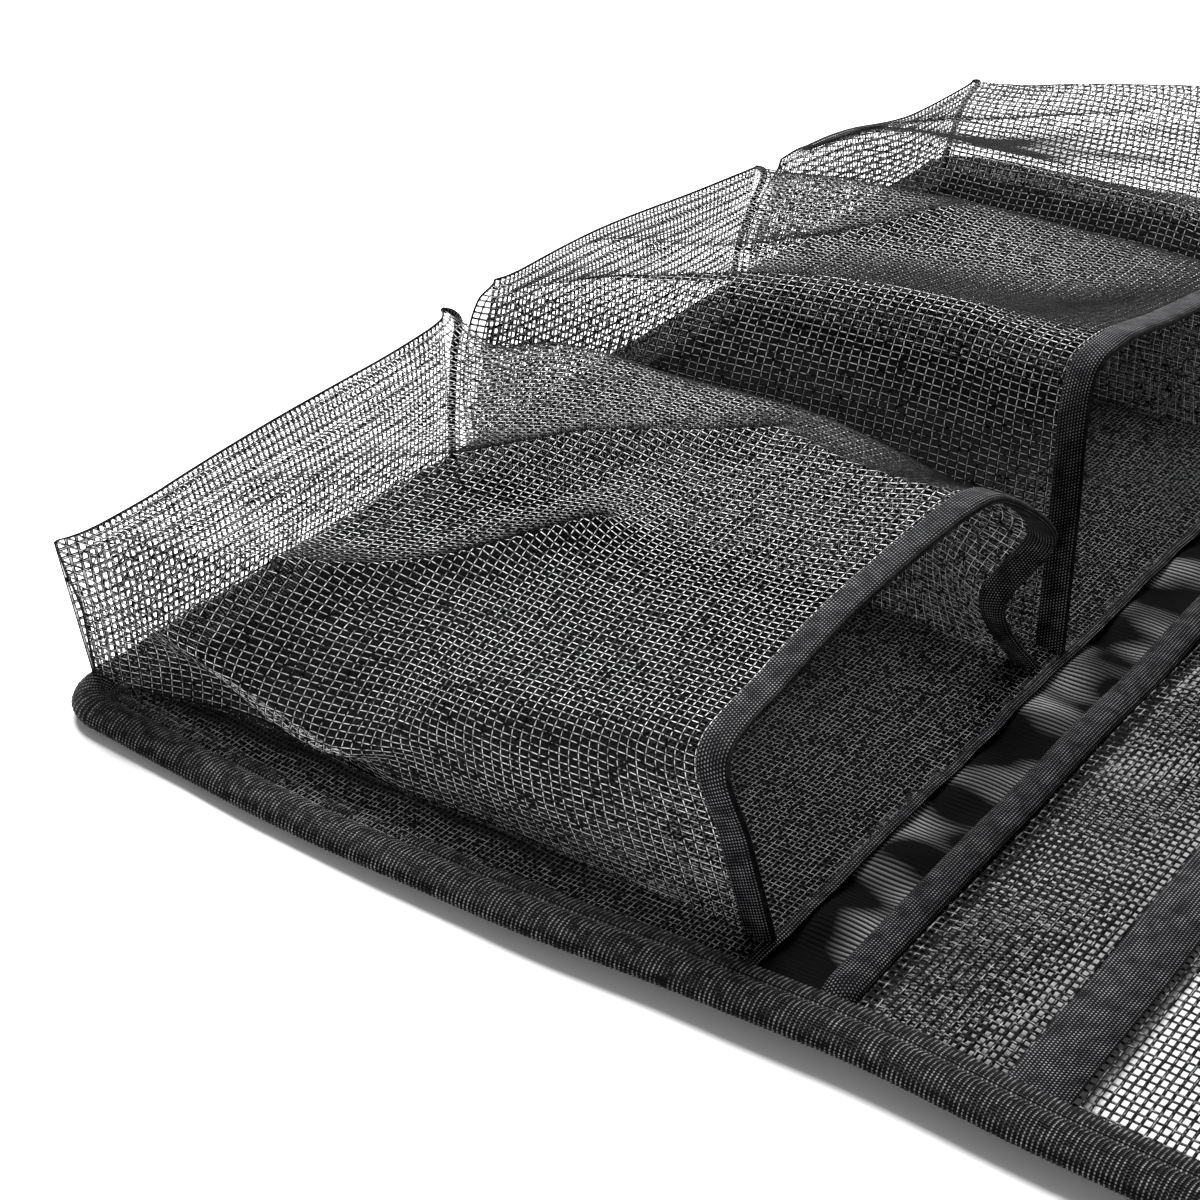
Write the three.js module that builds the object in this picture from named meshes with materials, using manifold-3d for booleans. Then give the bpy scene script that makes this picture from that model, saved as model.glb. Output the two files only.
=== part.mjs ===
// A hanging shoe organizer: three columns and four rows of boxy mesh pockets sewn on a long
// mesh panel, with a shallow flat pocket above each row, a header with three eyelets and
// three steel hooks that go over the top of a door.
//
// Units are millimetres. The organizer lies on its back: +Z comes out of its front, +Y runs
// up it towards the header and +X is to the right, seen from the front. The origin is the
// centre of the header's back face.

import * as THREE from 'three';
import { mergeVertices } from 'three/addons/utils/BufferGeometryUtils.js';
import Module from 'manifold-3d';

// ---- driving dimensions -----------------------------------------------------------------

const PANEL_WIDTH = 480;
const ROWS = 4;
const ROW_PITCH = 335;
const COLUMN_PITCH = 155;
const COLUMNS = ['left', 'middle', 'right'];
const CORNER_RADIUS = 18;
const BINDING_INNER_RADIUS = 1;
const GAP = 0.3;

// Heights of the stacked layers above the back face.
const BINDING_HEIGHT = 4.9;
const BINDING_SKIN = 0.9;
const BASE_LOW = 1.2;
const BASE_HIGH = 2.2;
const BACKING_LOW = 2.5;
const BACKING_HIGH = 3.7;
const FRONT_LOW = 4.0;

// Edge binding, and how far the sheets reach into it.
const BINDING_WIDTH = 10;
const SHEET_INSET = 3;

// One row, measured up from its lower edge.
const POCKET_START = 10.5;
const POCKET_END = 200;
const BACKING_END = 224;
const BACKING_TAPE = [221, 231];
const FLAT_POCKET = [225, 272];
const FLAT_POCKET_TAPE = [268, 283];
const FOLD_IN_ROW = 309;
const FOLD_ROW = 3;

// A big pocket.
const POCKET_WIDTH = 146;
const END_HEIGHT = 52;
const LIP_HEIGHT = 78;
const CROWN = 4;
const SHOULDER_RADIUS = 9;
const WALL = 1.2;
const LIP_TAPE_WIDTH = 9.5;
const LIP_TAPE_THICKNESS = 1.2;

// Header, eyelets and hooks.
const HEADER_HALF = 32;
const HEADER_THICKNESS = 4.4;
const HEADER_SLOT = 12;
const HEADER_CORNER = 6;
const EYELET_Y = 16;
const EYELET_X = [-190, 0, 190];
const EYELET_BORE = 7.5;
const EYELET_BARREL = 8.3;
const EYELET_FLANGE = 12;
const FLANGE_THICKNESS = 0.7;
const BACK_FLANGE_SUNK = 0.1;
const HOOK_WIDTH = 10;
const HOOK_THICKNESS = 1.5;
const HOOK_RADIUS = 9;
const HOOK_TIP = 8;
const HOOK_RISE = 62;
const DOOR_THICKNESS = 40;
const HOOK_DROP = 34;
const HOOK_BEND = 4;
const HOOK_ABOVE_EYELET = 2.5;

const FOLD_GAP = 0.6;
const PANEL_TOP = -HEADER_HALF;
const PANEL_BOTTOM = PANEL_TOP - ROWS * ROW_PITCH;
const FOLD_Y = PANEL_TOP - FOLD_ROW * ROW_PITCH + FOLD_IN_ROW;
const HALF_WIDTH = PANEL_WIDTH / 2;
const TAPE_HALF_WIDTH = HALF_WIDTH - BINDING_WIDTH - 2 * GAP;

// ---- materials ----------------------------------------------------------------------------

function fabric(colour, roughness) {
  return new THREE.MeshStandardMaterial({ color: colour, roughness, metalness: 0 });
}

const netting = () => fabric(0x2a2b2c, 0.6);
const backingCloth = () => fabric(0x17181a, 0.75);
const ribbedTape = () => fabric(0x1c1d1e, 0.7);
const steel = () => new THREE.MeshStandardMaterial({ color: 0xb9bbbd, roughness: 0.35, metalness: 1 });

// ---- solids -------------------------------------------------------------------------------

const wasm = await Module();
wasm.setup();

/** The manifold solid of a closed three.js geometry. */
function solid(geometry) {
  const bare = new THREE.BufferGeometry();
  bare.setAttribute('position', geometry.getAttribute('position').clone());
  if (geometry.index) bare.setIndex(geometry.index.clone());
  const merged = mergeVertices(bare, 1e-4);
  return new wasm.Manifold(new wasm.Mesh({
    numProp: 3,
    vertProperties: new Float32Array(merged.getAttribute('position').array),
    triVerts: new Uint32Array(merged.index.array),
  }));
}

/** The three.js geometry of a manifold solid. */
function geometryOf(body) {
  const mesh = body.getMesh();
  const geometry = new THREE.BufferGeometry();
  geometry.setAttribute('position', new THREE.BufferAttribute(mesh.vertProperties, 3));
  geometry.setIndex(new THREE.BufferAttribute(mesh.triVerts, 1));
  geometry.computeVertexNormals();
  return geometry;
}

/** A block between two opposite corners. */
function block(low, high) {
  const size = high.map((value, axis) => value - low[axis]);
  const middle = high.map((value, axis) => (value + low[axis]) / 2);
  return new THREE.BoxGeometry(...size).translate(...middle);
}

/** A flat sheet, seen from the front, whose two lower corners are rounded. */
function sheet(halfWidth, yLow, yHigh, zLow, zHigh, radius) {
  const outline = new THREE.Shape();
  outline.moveTo(halfWidth, yHigh);
  outline.lineTo(-halfWidth, yHigh);
  outline.lineTo(-halfWidth, yLow + radius);
  outline.absarc(-halfWidth + radius, yLow + radius, radius, Math.PI, 1.5 * Math.PI, false);
  outline.lineTo(halfWidth - radius, yLow);
  outline.absarc(halfWidth - radius, yLow + radius, radius, 1.5 * Math.PI, 2 * Math.PI, false);
  outline.closePath();
  const depth = zHigh - zLow;
  return new THREE.ExtrudeGeometry(outline, { depth, bevelEnabled: false, curveSegments: 5 })
    .translate(0, 0, zLow);
}

/** A tape sewn across the panel: a flat strip with rounded long edges. */
function crossTape(yLow, yHigh, zLow, zHigh) {
  const round = Math.min(zHigh - zLow, yHigh - yLow) * 0.4;
  const section = new THREE.Shape();
  section.moveTo(yLow, zLow);
  section.lineTo(yHigh, zLow);
  section.lineTo(yHigh, zHigh - round);
  section.quadraticCurveTo(yHigh, zHigh, yHigh - round, zHigh);
  section.lineTo(yLow + round, zHigh);
  section.quadraticCurveTo(yLow, zHigh, yLow, zHigh - round);
  section.closePath();
  const options = { depth: 2 * TAPE_HALF_WIDTH, bevelEnabled: false, curveSegments: 2 };
  return new THREE.ExtrudeGeometry(section, options)
    .applyMatrix4(new THREE.Matrix4().set(
      0, 0, 1, -TAPE_HALF_WIDTH,
      1, 0, 0, 0,
      0, 1, 0, 0,
      0, 0, 0, 1,
    ));
}

/**
 * The space under one pocket's front, grown outwards by offset, from start to end up the row.
 * It is an arch with rounded shoulders and a slight crown, lower at its closed end.
 */
function pocketArch(offset, start, end, foot) {
  const half = POCKET_WIDTH / 2 + offset;
  const shoulder = LIP_HEIGHT - CROWN + offset;
  const radius = SHOULDER_RADIUS + offset;
  const arch = new THREE.Shape();
  arch.moveTo(-half, foot - FRONT_LOW);
  arch.lineTo(half, foot - FRONT_LOW);
  arch.lineTo(half, shoulder - radius);
  arch.absarc(half - radius, shoulder - radius, radius, 0, Math.PI / 2, false);
  arch.quadraticCurveTo(0, shoulder + 2 * CROWN, -half + radius, shoulder);
  arch.absarc(-half + radius, shoulder - radius, radius, Math.PI / 2, Math.PI, false);
  arch.closePath();
  const options = { depth: end - start, bevelEnabled: false, curveSegments: 3 };
  const geometry = new THREE.ExtrudeGeometry(arch, options).rotateX(Math.PI / 2).translate(0, end, 0);
  const place = geometry.getAttribute('position');
  for (let i = 0; i < place.count; i += 1) {
    const along = (place.getY(i) - POCKET_START) / (POCKET_END - POCKET_START);
    const scale = (END_HEIGHT + (LIP_HEIGHT - END_HEIGHT) * along) / LIP_HEIGHT;
    const height = place.getZ(i);
    place.setZ(i, FRONT_LOW + (height > 0 ? height * scale : height));
  }
  return solid(geometry);
}

/** A pocket: a thin closed shell, open at its upper end and against the backing. */
function pocketShell() {
  const outside = pocketArch(0, POCKET_START, POCKET_END, FRONT_LOW);
  const inside = pocketArch(-WALL, POCKET_START + WALL, POCKET_END + WALL, FRONT_LOW - WALL);
  return outside.subtract(inside);
}

/** The tape folded over a pocket's open edge. */
function lipTape() {
  const start = POCKET_END - LIP_TAPE_WIDTH;
  const end = POCKET_END + GAP + LIP_TAPE_THICKNESS;
  const outside = pocketArch(GAP + LIP_TAPE_THICKNESS, start, end, FRONT_LOW);
  const inner = -WALL - GAP - LIP_TAPE_THICKNESS;
  const inside = pocketArch(inner, start - WALL, end + WALL, FRONT_LOW - WALL);
  const slotOutside = pocketArch(GAP, start - WALL, POCKET_END + GAP, FRONT_LOW - WALL);
  const slotInside = pocketArch(-WALL - GAP, start - 2 * WALL, POCKET_END + WALL, FRONT_LOW - 2 * WALL);
  return outside.subtract(inside).subtract(slotOutside.subtract(slotInside));
}

/** The binding folded over the panel's sides and lower edge, before it is cut into lengths. */
function edgeBinding() {
  const top = PANEL_TOP - GAP;
  const band = solid(sheet(HALF_WIDTH, PANEL_BOTTOM, top, 0, BINDING_HEIGHT, CORNER_RADIUS));
  const window = sheet(
    HALF_WIDTH - BINDING_WIDTH, PANEL_BOTTOM + BINDING_WIDTH, top + 1,
    -1, BINDING_HEIGHT + 1, BINDING_INNER_RADIUS,
  );
  const reach = SHEET_INSET - GAP;
  const slot = sheet(
    HALF_WIDTH - reach, PANEL_BOTTOM + reach, top + 1,
    BINDING_SKIN, BACKING_HIGH + GAP, CORNER_RADIUS - reach,
  );
  return band.subtract(solid(window)).subtract(solid(slot));
}

/** The length of binding inside a block that reaches past it front and back. */
function bindingLength(binding, low, high) {
  return binding.intersect(solid(block([low[0], low[1], -1], [high[0], high[1], BINDING_HEIGHT + 1])));
}

/**
 * A header of folded cloth that grips the top of the mesh panel. It has a hole for each eyelet,
 * with a dent around it on the back where the eyelet's flange is pressed in.
 */
function headerPanel() {
  const plate = new THREE.Shape();
  const side = HALF_WIDTH;
  const inner = side - HEADER_CORNER;
  const level = HEADER_HALF - HEADER_CORNER;
  plate.moveTo(-side, -HEADER_HALF);
  plate.lineTo(side, -HEADER_HALF);
  plate.absarc(inner, level, HEADER_CORNER, 0, Math.PI / 2, false);
  plate.absarc(-inner, level, HEADER_CORNER, Math.PI / 2, Math.PI, false);
  plate.closePath();
  for (const x of EYELET_X) {
    const hole = new THREE.Path();
    hole.absarc(x, EYELET_Y, EYELET_BARREL + GAP, 0, 2 * Math.PI, true);
    plate.holes.push(hole);
  }
  const options = { depth: HEADER_THICKNESS, bevelEnabled: false, curveSegments: 12 };
  let cloth = solid(new THREE.ExtrudeGeometry(plate, options));
  const dent = BACK_FLANGE_SUNK + FLANGE_THICKNESS + GAP;
  for (const x of EYELET_X) {
    const disc = new THREE.CylinderGeometry(EYELET_FLANGE + GAP, EYELET_FLANGE + GAP, 2 * dent, 32)
      .rotateX(Math.PI / 2).translate(x, EYELET_Y, 0);
    cloth = cloth.subtract(solid(disc));
  }
  const slot = block(
    [-side - 1, -HEADER_HALF - 1, BASE_LOW - GAP],
    [side + 1, -HEADER_HALF + HEADER_SLOT + GAP, BASE_HIGH + GAP],
  );
  return cloth.subtract(solid(slot));
}

/** A metal eyelet: a barrel with one flange sunk in the header's back and one on its front. */
function eyelet() {
  const backFlange = BACK_FLANGE_SUNK;
  const frontFlange = HEADER_THICKNESS + GAP + FLANGE_THICKNESS;
  const profile = [
    [EYELET_BORE, backFlange],
    [EYELET_FLANGE, backFlange],
    [EYELET_FLANGE, backFlange + FLANGE_THICKNESS],
    [EYELET_BARREL, backFlange + FLANGE_THICKNESS],
    [EYELET_BARREL, frontFlange - FLANGE_THICKNESS],
    [EYELET_FLANGE, frontFlange - FLANGE_THICKNESS],
    [EYELET_FLANGE, frontFlange],
    [EYELET_BORE, frontFlange],
    [EYELET_BORE, backFlange],
  ].map(([radius, height]) => new THREE.Vector2(radius, height));
  return new THREE.LatheGeometry(profile, 24).rotateX(Math.PI / 2);
}

/**
 * A flat steel strip bent to hook into an eyelet and over a door. Its section is drawn as seen
 * from the side, with up first and out second, around the centre of its lower bend.
 */
function doorHook() {
  const line = new THREE.CurvePath();
  const corners = [
    [HOOK_TIP, HOOK_RADIUS],
    [0, HOOK_RADIUS],
    [0, -HOOK_RADIUS],
    [HOOK_RISE, -HOOK_RADIUS],
    [HOOK_RISE, -HOOK_RADIUS - DOOR_THICKNESS],
    [HOOK_RISE - HOOK_DROP, -HOOK_RADIUS - DOOR_THICKNESS],
  ].map(([up, out]) => new THREE.Vector2(up, out));
  const [tip, bowlFront, bowlBack, topFront, topBack, dropEnd] = corners;
  const back = (from, to) => from.clone().add(to.clone().sub(from).setLength(HOOK_BEND));
  line.add(new THREE.LineCurve(tip, bowlFront));
  line.add(new THREE.EllipseCurve(0, 0, HOOK_RADIUS, HOOK_RADIUS, Math.PI / 2, 1.5 * Math.PI, false));
  line.add(new THREE.LineCurve(bowlBack, back(topFront, bowlBack)));
  line.add(new THREE.QuadraticBezierCurve(back(topFront, bowlBack), topFront, back(topFront, topBack)));
  line.add(new THREE.LineCurve(back(topFront, topBack), back(topBack, topFront)));
  line.add(new THREE.QuadraticBezierCurve(back(topBack, topFront), topBack, back(topBack, dropEnd)));
  line.add(new THREE.LineCurve(back(topBack, dropEnd), dropEnd));

  const leftSide = [];
  const rightSide = [];
  for (const curve of line.curves) {
    const steps = curve.type === 'LineCurve' ? 1 : curve.type === 'EllipseCurve' ? 10 : 4;
    for (let i = 0; i <= steps; i += 1) {
      const point = curve.getPoint(i / steps);
      const tangent = curve.getTangent(i / steps);
      const normal = new THREE.Vector2(-tangent.y, tangent.x).multiplyScalar(HOOK_THICKNESS / 2);
      const last = leftSide[leftSide.length - 1];
      const left = point.clone().add(normal);
      if (last && last.distanceTo(left) < 1e-3) continue;
      leftSide.push(left);
      rightSide.push(point.clone().sub(normal));
    }
  }
  const outline = new THREE.Shape([...leftSide, ...rightSide.reverse()]);
  return new THREE.ExtrudeGeometry(outline, { depth: HOOK_WIDTH, bevelEnabled: false })
    .applyMatrix4(new THREE.Matrix4().set(
      0, 0, 1, -HOOK_WIDTH / 2,
      1, 0, 0, 0,
      0, 1, 0, 0,
      0, 0, 0, 1,
    ));
}

// ---- assembly -----------------------------------------------------------------------------

const organizer = new THREE.Group();
const upperSection = new THREE.Group();
const lowerSection = new THREE.Group();
organizer.add(upperSection, lowerSection);

/** Adds one named piece to a group, at a place. */
function addPiece(group, name, geometry, material, place = [0, 0, 0]) {
  const piece = new THREE.Mesh(geometry, material);
  piece.name = name;
  piece.position.set(...place);
  group.add(piece);
}

/** The backing, flat pocket and tapes of one row, and its three big pockets. */
function addRow(row) {
  const group = row < FOLD_ROW ? upperSection : lowerSection;
  const bottom = PANEL_TOP - row * ROW_PITCH;
  const isLowest = row === ROWS;
  const half = HALF_WIDTH - SHEET_INSET;
  const backingStart = isLowest ? bottom + SHEET_INSET : bottom;
  const radius = isLowest ? CORNER_RADIUS - SHEET_INSET : 0.01;
  const backing = isLowest
    ? sheet(half, backingStart, bottom + BACKING_END, BACKING_LOW, BACKING_HIGH, radius)
    : block([-half, backingStart, BACKING_LOW], [half, bottom + BACKING_END, BACKING_HIGH]);
  addPiece(group, `row${row}_backing`, backing, backingCloth());

  const flatPocket = block(
    [-half, bottom + FLAT_POCKET[0], BACKING_LOW],
    [half, bottom + FLAT_POCKET[1], BACKING_HIGH],
  );
  addPiece(group, `row${row}_flat_pocket`, flatPocket, netting());

  const tapes = { backing_tape: BACKING_TAPE, flat_pocket_tape: FLAT_POCKET_TAPE };
  for (const [name, [low, high]] of Object.entries(tapes)) {
    const tape = crossTape(bottom + low, bottom + high, FRONT_LOW, FRONT_LOW + 1.8);
    addPiece(group, `row${row}_${name}`, tape, ribbedTape());
  }

  COLUMNS.forEach((column, index) => {
    const place = [(index - 1) * COLUMN_PITCH, bottom, 0];
    addPiece(group, `row${row}_pocket_${column}`, geometryOf(pocketShell()), netting(), place);
    addPiece(group, `row${row}_pocket_lip_${column}`, geometryOf(lipTape()), ribbedTape(), place);
  });
}

for (let row = 1; row <= ROWS; row += 1) addRow(row);

const sheetHalf = HALF_WIDTH - SHEET_INSET;
const upperBase = block(
  [-sheetHalf, FOLD_Y + FOLD_GAP / 2, BASE_LOW],
  [sheetHalf, PANEL_TOP + HEADER_SLOT, BASE_HIGH],
);
addPiece(upperSection, 'upper_mesh_panel', upperBase, netting());
const lowerBase = sheet(
  sheetHalf, PANEL_BOTTOM + SHEET_INSET, FOLD_Y - FOLD_GAP / 2,
  BASE_LOW, BASE_HIGH, CORNER_RADIUS - SHEET_INSET,
);
addPiece(lowerSection, 'lower_mesh_panel', lowerBase, netting());

const binding = edgeBinding();
const cornerTop = PANEL_BOTTOM + CORNER_RADIUS;
const outer = HALF_WIDTH + 1;
const bindingPieces = {
  bottom_binding: [lowerSection, [-outer, PANEL_BOTTOM - 1], [outer, cornerTop]],
  lower_left_binding: [lowerSection, [-outer, cornerTop + GAP], [0, FOLD_Y - FOLD_GAP / 2]],
  lower_right_binding: [lowerSection, [0, cornerTop + GAP], [outer, FOLD_Y - FOLD_GAP / 2]],
  upper_left_binding: [upperSection, [-outer, FOLD_Y + FOLD_GAP / 2], [0, PANEL_TOP]],
  upper_right_binding: [upperSection, [0, FOLD_Y + FOLD_GAP / 2], [outer, PANEL_TOP]],
};
for (const [name, [group, low, high]] of Object.entries(bindingPieces)) {
  addPiece(group, name, geometryOf(bindingLength(binding, low, high)), ribbedTape());
}

addPiece(upperSection, 'header_panel', geometryOf(headerPanel()), backingCloth());
COLUMNS.forEach((column, index) => {
  const x = EYELET_X[index];
  addPiece(upperSection, `eyelet_${column}`, eyelet(), steel(), [x, EYELET_Y, 0]);
  const bowl = EYELET_Y + HOOK_ABOVE_EYELET + HOOK_RADIUS;
  addPiece(upperSection, `door_hook_${column}`, doorHook(), steel(), [x, bowl, HEADER_THICKNESS / 2]);
});

export default organizer;
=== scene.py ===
"""Looks for the hanging shoe organizer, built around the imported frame.

Lengths here are millimetres until a mesh is made, where MM turns them into metres. A row is
measured as in the frame: x to the right, y up the organizer, z out of its front.
"""
import math

import bpy
import numpy as np
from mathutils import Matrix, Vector


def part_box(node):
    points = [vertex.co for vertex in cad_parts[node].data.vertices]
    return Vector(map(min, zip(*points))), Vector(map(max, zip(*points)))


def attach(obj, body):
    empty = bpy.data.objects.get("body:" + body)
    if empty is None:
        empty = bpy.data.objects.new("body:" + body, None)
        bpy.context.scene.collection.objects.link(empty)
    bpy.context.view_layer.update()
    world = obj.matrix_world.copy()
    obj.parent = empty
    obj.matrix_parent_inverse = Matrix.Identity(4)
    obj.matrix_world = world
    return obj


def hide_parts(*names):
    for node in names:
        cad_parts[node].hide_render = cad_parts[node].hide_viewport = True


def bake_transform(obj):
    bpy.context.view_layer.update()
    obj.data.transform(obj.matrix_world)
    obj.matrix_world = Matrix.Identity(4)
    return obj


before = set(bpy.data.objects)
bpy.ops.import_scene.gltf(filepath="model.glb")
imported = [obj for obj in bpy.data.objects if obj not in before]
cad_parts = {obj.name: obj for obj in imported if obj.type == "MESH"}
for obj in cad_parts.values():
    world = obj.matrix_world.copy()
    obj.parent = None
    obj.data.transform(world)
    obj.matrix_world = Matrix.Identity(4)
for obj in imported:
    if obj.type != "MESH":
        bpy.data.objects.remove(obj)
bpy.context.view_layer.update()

MM = 0.001
ROWS = (1, 2, 3, 4)
COLUMNS = ("left", "middle", "right")
UPPER, LOWER = "upper_section", "lower_section"
# The first row below the fold, counted from the header.
FOLD_ROW = 3
BAKE_UV = "OFBake"

# Netting: lines of thread crossed by short bars. A mesh is (line pitch, bar pitch), and each
# net has its own half width of thread. UNEVEN is how far crossings stray, in pitches.
POCKET_MESH = (1.95, 2.85)
PANEL_MESH = (2.1, 2.6)
INNER_MESH = (1.4, 1.7)
POCKET_THREAD_HALF = 0.33
END_THREAD_HALF = 0.48
FLAT_THREAD_HALF = 0.46
PANEL_THREAD_HALF = 0.4
INNER_THREAD_HALF = 0.25
THREAD_HEIGHT = 0.2
UNEVEN = 0.025


# ---- meshes from arrays ----

def smoothstep(x):
    """0 below 0, 1 above 1 and a smooth rise between them."""
    x = np.clip(x, 0.0, 1.0)
    return x * x * (3 - 2 * x)


def unit(vectors):
    """The same directions with length 1."""
    return vectors / np.maximum(np.linalg.norm(vectors, axis=-1, keepdims=True), 1e-12)


def mesh_object(name, points, quads, material, uv=None, cloth=None, smooth=True):
    """An object from points in millimetres and four-cornered faces.

    uv places it on a texture of its own and cloth gives places in millimetres for a weave.
    """
    mesh = bpy.data.meshes.new(name)
    quads = np.asarray(quads, np.int32).reshape(-1, 4)
    mesh.vertices.add(len(points))
    mesh.vertices.foreach_set("co", (np.asarray(points) * MM).astype(np.float32).ravel())
    mesh.loops.add(quads.size)
    mesh.loops.foreach_set("vertex_index", quads.ravel())
    mesh.polygons.add(len(quads))
    mesh.polygons.foreach_set("loop_start", np.arange(0, quads.size, 4, dtype=np.int32))
    mesh.polygons.foreach_set("use_smooth", np.full(len(quads), smooth))
    if uv is not None:
        layer = mesh.uv_layers.new(name=BAKE_UV)
        layer.data.foreach_set("uv", np.asarray(uv, np.float32)[quads.ravel()].ravel())
    if cloth is not None:
        layer = mesh.uv_layers.new(name="Cloth")
        layer.data.foreach_set("uv", np.asarray(cloth, np.float32)[quads.ravel()].ravel())
    mesh.materials.append(material)
    mesh.update(calc_edges=True)
    mesh.validate()
    made = bpy.data.objects.new(name, mesh)
    bpy.context.scene.collection.objects.link(made)
    return made


def lattice_quads(rows, columns, wrap=False):
    """Faces of a rows by columns lattice of points. With wrap, its last column joins its first."""
    index = np.arange(rows * columns).reshape(rows, columns)
    if wrap:
        index = np.concatenate([index, index[:, :1]], axis=1)
    corners = (index[:-1, :-1], index[:-1, 1:], index[1:, 1:], index[1:, :-1])
    return np.stack(corners, -1).reshape(-1, 4)


# ---- cloth surfaces ----

class Surface:
    """A curved sheet, as a lattice of points over u (second index) and v (first index)."""

    def __init__(self, points):
        self.points = np.asarray(points, float)

    @staticmethod
    def _weights(t, count):
        """The first of four lattice lines around t, and their Catmull-Rom weights."""
        place = np.clip(t, 0, 1) * (count - 1)
        cell = np.minimum(place.astype(int), count - 2)
        f = place - cell
        weights = np.stack([
            -0.5 * f + f ** 2 - 0.5 * f ** 3,
            1 - 2.5 * f ** 2 + 1.5 * f ** 3,
            0.5 * f + 2 * f ** 2 - 1.5 * f ** 3,
            -0.5 * f ** 2 + 0.5 * f ** 3,
        ], -1)
        lines = np.clip(cell[..., None] + np.arange(-1, 3), 0, count - 1)
        return lines, weights

    def at(self, u, v):
        """The points at u and v, two arrays of one shape."""
        rows, columns = self.points.shape[:2]
        across, across_weights = self._weights(np.asarray(u, float), columns)
        along, along_weights = self._weights(np.asarray(v, float), rows)
        found = np.zeros(np.shape(u) + (3,))
        for i in range(4):
            for j in range(4):
                weight = along_weights[..., i] * across_weights[..., j]
                found += weight[..., None] * self.points[along[..., i], across[..., j]]
        return found

    def normals(self, u, v):
        step = 0.004
        du = self.at(np.clip(u + step, 0, 1), v) - self.at(np.clip(u - step, 0, 1), v)
        dv = self.at(u, np.clip(v + step, 0, 1)) - self.at(u, np.clip(v - step, 0, 1))
        return unit(np.cross(du, dv))

    def span(self):
        """Its mean length along u and along v."""
        steps = (np.diff(self.points, axis=axis) for axis in (1, 0))
        return [np.linalg.norm(step, axis=-1).sum(axis).mean() for step, axis in zip(steps, (1, 0))]


def flat_surface(x_range, y_range, height, steps=(24, 90)):
    """A sheet over a rectangle, its z from height(x, y). u runs along x and v along y."""
    x, y = np.meshgrid(np.linspace(*x_range, steps[1]), np.linspace(*y_range, steps[0]))
    return Surface(np.stack([x, y, height(x, y)], -1))


def turned(surface):
    """The same sheet with u and v swapped."""
    return Surface(surface.points.transpose(1, 0, 2)[:, ::-1])


# ---- netting ----

def thread_corners(half_width, flat):
    """Corners of a thread's section, as (sideways, outwards): a ribbon or a small roof."""
    if flat:
        return np.array([[half_width, 0.0], [-half_width, 0.0]])
    base = -THREAD_HEIGHT / 2
    return np.array([[half_width, base], [0.0, -base], [-half_width, base]])


def ring_sides(ring, following):
    """Faces between one ring of corners and the next."""
    return np.stack([ring[:-1], ring[1:], following[1:], following[:-1]], -1)


def thread_prisms(starts, ends, ups, half_width, flat=False):
    """Short straight lengths of thread between paired points, as rings of corners and faces."""
    sides = unit(np.cross(unit(ends - starts), ups))
    shape = thread_corners(half_width, flat)
    rings = [
        point[:, None] + shape[:, 0, None] * sides[:, None] + shape[:, 1, None] * ups[:, None]
        for point in (starts, ends)
    ]
    points = np.stack(rings, 1).reshape(-1, 3)
    corner = np.arange(len(shape))
    ring_faces = ring_sides(corner, corner + len(shape))
    first = np.arange(len(starts)) * 2 * len(shape)
    return points, (first[:, None, None] + ring_faces).reshape(-1, 4)


def netting(surface, mesh_size, half_width, flat=False):
    """Netting on a surface, its lines running along v.

    Returns its points, faces and texture places, and for each point how far across its thread
    it is and how strongly its painted highlight shows.
    """
    width, length = surface.span()
    lines = max(2, round(width / mesh_size[0]))
    bars = max(2, round(length / mesh_size[1]))
    nodes = bars + 1
    i, j = np.meshgrid(np.arange(lines + 1), np.arange(nodes), indexing="ij")
    uneven = np.random.default_rng(lines * nodes)
    sway = uneven.normal(0, UNEVEN, (2,) + i.shape)
    u = (i + sway[0] * ((i > 0) & (i < lines))) / lines
    v = (j + sway[1] * ((j > 0) & (j < bars))) / bars
    place = surface.at(u, v)
    outward = surface.normals(u, v)

    tangent = unit(np.gradient(place, axis=1))
    side = unit(np.cross(tangent, outward))
    corners = thread_corners(half_width, flat)
    sideways = corners[:, 0, None] * side[:, :, None]
    rings = place[:, :, None] + sideways + corners[:, 1, None] * outward[:, :, None]
    ring_size = len(corners)
    line_points = rings.reshape(-1, 3)
    across = corners[:, 0] / half_width
    start = np.arange((lines + 1) * nodes).reshape(lines + 1, nodes) * ring_size
    sides = ring_sides(np.arange(ring_size), np.arange(ring_size) + ring_size)
    line_faces = (start[:, :-1].reshape(-1, 1, 1) + sides).reshape(-1, 4)
    line_uv = np.repeat(np.stack([u, v], -1).reshape(-1, 2), ring_size, axis=0)

    has_bar = (j[:-1] > 0) & (j[:-1] < bars)
    near, far = place[:-1][has_bar], place[1:][has_bar]
    bar_points, bar_faces = thread_prisms(near, far, outward[:-1][has_bar], half_width, flat)
    bar_uv = np.repeat(np.stack([u[:-1][has_bar], v[:-1][has_bar]], -1), 2 * ring_size, axis=0)
    points = np.concatenate([line_points, bar_points])
    faces = np.concatenate([line_faces, bar_faces + len(line_points)])
    thread = np.ones((len(points), 2))
    thread[:, 0] = np.tile(across, len(points) // ring_size)
    return points, faces, np.concatenate([line_uv, bar_uv]), thread


def net_object(name, surfaces, material, mesh_size, half_widths, flat=False, sheen=None):
    """One object of netting over several surfaces. sheen(points) may vary the thread's painted highlight."""
    parts = [netting(surface, mesh_size, half, flat) for surface, half in zip(surfaces, half_widths)]
    first = np.cumsum([0] + [len(part[0]) for part in parts])
    points, uv, thread = (np.concatenate([part[i] for part in parts]) for i in (0, 2, 3))
    faces = np.concatenate([part[1] + start for part, start in zip(parts, first)])
    if sheen is not None:
        thread[:, 1] = sheen(points)
    return mesh_object(name, points, faces, material, uv, thread)


# ---- sweeps ----

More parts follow.
